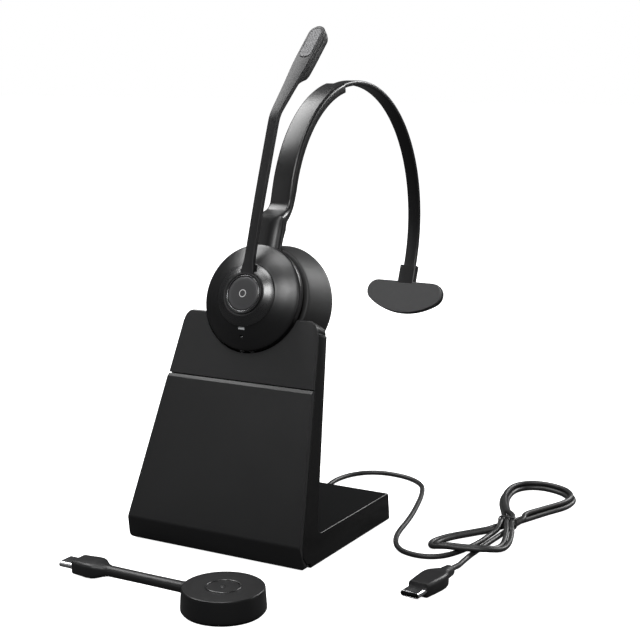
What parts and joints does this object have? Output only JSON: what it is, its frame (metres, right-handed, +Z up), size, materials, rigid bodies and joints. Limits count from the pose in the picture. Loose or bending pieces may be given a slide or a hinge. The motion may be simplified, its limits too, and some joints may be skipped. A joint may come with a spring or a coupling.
{
  "type": "office headset on charging stand",
  "caption": "Mono wireless office headset with a microphone boom, docked in a leaning charging stand with a tied USB lead, beside a round wireless adapter.",
  "frame": {"origin": "on the floor, midway between the sides of the stand's foot and midway between its front crease and its rear face", "axes": "+Z up, -Y the way the stand's front plate faces, +X to the right seen from the front"},
  "size_m": [0.1536, 0.256, 0.2188],
  "materials": {
    "stand_black": "black moulded plastic with a fine grain",
    "panel_black": "satin charcoal plastic",
    "dock_black": "smooth charcoal plastic with a soft gloss",
    "foot_rubber": "matt black rubber",
    "steel": "zinc-plated steel",
    "board": "green circuit board",
    "gold": "gold-plated contact",
    "cord_black": "matt black lead jacket",
    "tie": "dark plastic-coated wire tie",
    "plug_black": "satin black overmould",
    "plug_metal": "bright drawn steel plug shell",
    "inner_black": "matt black plastic",
    "shell_black": "satin charcoal plastic",
    "leatherette": "soft black leatherette",
    "cloth": "fine black acoustic cloth",
    "driver": "bare metal can",
    "foil": "foil pouch cell",
    "window": "pale light window",
    "bright_ring": "glossy dark ring",
    "button_black": "finely spun dark satin face",
    "boom_black": "satin black plastic",
    "grille": "fine ribbed grille",
    "arm_black": "satin black plastic with a soft gloss",
    "strap_black": "matt black spring band jacket",
    "pad_grey": "soft dark grey rubber",
    "badge": "slightly lighter raised ring"
  },
  "bodies": {
    "stand": {"stand_housing": "stand_black", "front_cover": "panel_black", "dock_plate": "dock_black", "base_plate": "stand_black", "foot_pad": "foot_rubber", "ballast": "steel", "charge_board": "board", "stand_screws": "steel", "cord_grommet": "cord_black", "stand_cord": "cord_black", "cord_bundle": "cord_black", "cord_tie": "tie", "plug_lead": "cord_black", "plug_body": "plug_black", "plug_shell": "plug_metal", "plug_tongue": "inner_black"},
    "charge_pin_l": {"charge_pin_left": "gold"},
    "charge_pin_r": {"charge_pin_right": "gold"},
    "headset": {"cup_shell": "shell_black", "cup_frame": "inner_black", "ear_cushion": "leatherette", "speaker_baffle": "inner_black", "speaker_cloth": "cloth", "speaker_driver": "driver", "battery": "foil", "main_board": "board", "charge_pads": "gold", "status_window": "window", "mode_led": "window", "button_bezel": "bright_ring", "headband_arm": "arm_black", "sleeve_cover": "arm_black"},
    "boom": {"boom_collar": "shell_black", "boom_arm": "boom_black", "boom_clip": "steel", "mic_housing": "boom_black", "mic_grille": "grille", "mic_capsule": "driver"},
    "headband": {"headband_strap": "strap_black", "temple_bar": "strap_black", "temple_pad": "pad_grey"},
    "button": {"call_button": "button_black"},
    "adapter": {"adapter_cap": "panel_black", "adapter_base": "stand_black", "adapter_badge": "badge", "adapter_board": "board", "adapter_flex": "plug_black", "adapter_shell": "plug_metal", "adapter_tongue": "inner_black"}
  },
  "joints": [
    {"name": "headset_lift", "type": "slide", "parent": "stand", "child": "headset", "axis": [0, 0.3486, 0.9373], "range_m": [0, 0.07]},
    {"name": "pin_left_travel", "type": "slide", "parent": "stand", "child": "charge_pin_l", "axis": [0, -0.3486, -0.9373], "range_m": [0, 0.0008], "stiffness_N_per_m": 200, "springref_m": -0.001},
    {"name": "pin_right_travel", "type": "slide", "parent": "stand", "child": "charge_pin_r", "axis": [0, -0.3486, -0.9373], "range_m": [0, 0.0008], "stiffness_N_per_m": 200, "springref_m": -0.001},
    {"name": "boom_turn", "type": "hinge", "parent": "headset", "child": "boom", "pos_m": [0, -0.00462, 0.10453], "axis": [0, -0.9373, 0.3486], "range_deg": [-125, 125]},
    {"name": "band_slide", "type": "hinge", "parent": "headset", "child": "headband", "pos_m": [0, 0.0836, 0.1238], "axis": [-1, 0, 0], "range_deg": [0, 18]},
    {"name": "button_press", "type": "slide", "parent": "headset", "child": "button", "axis": [0, -0.9373, 0.3486], "range_m": [-0.0005, 0], "stiffness_N_per_m": 600, "springref_m": 0.001},
    {"name": "adapter_lift", "type": "slide", "parent": "stand", "child": "adapter", "axis": [0, 0, 1], "range_m": [0, 0.06]}
  ]
}
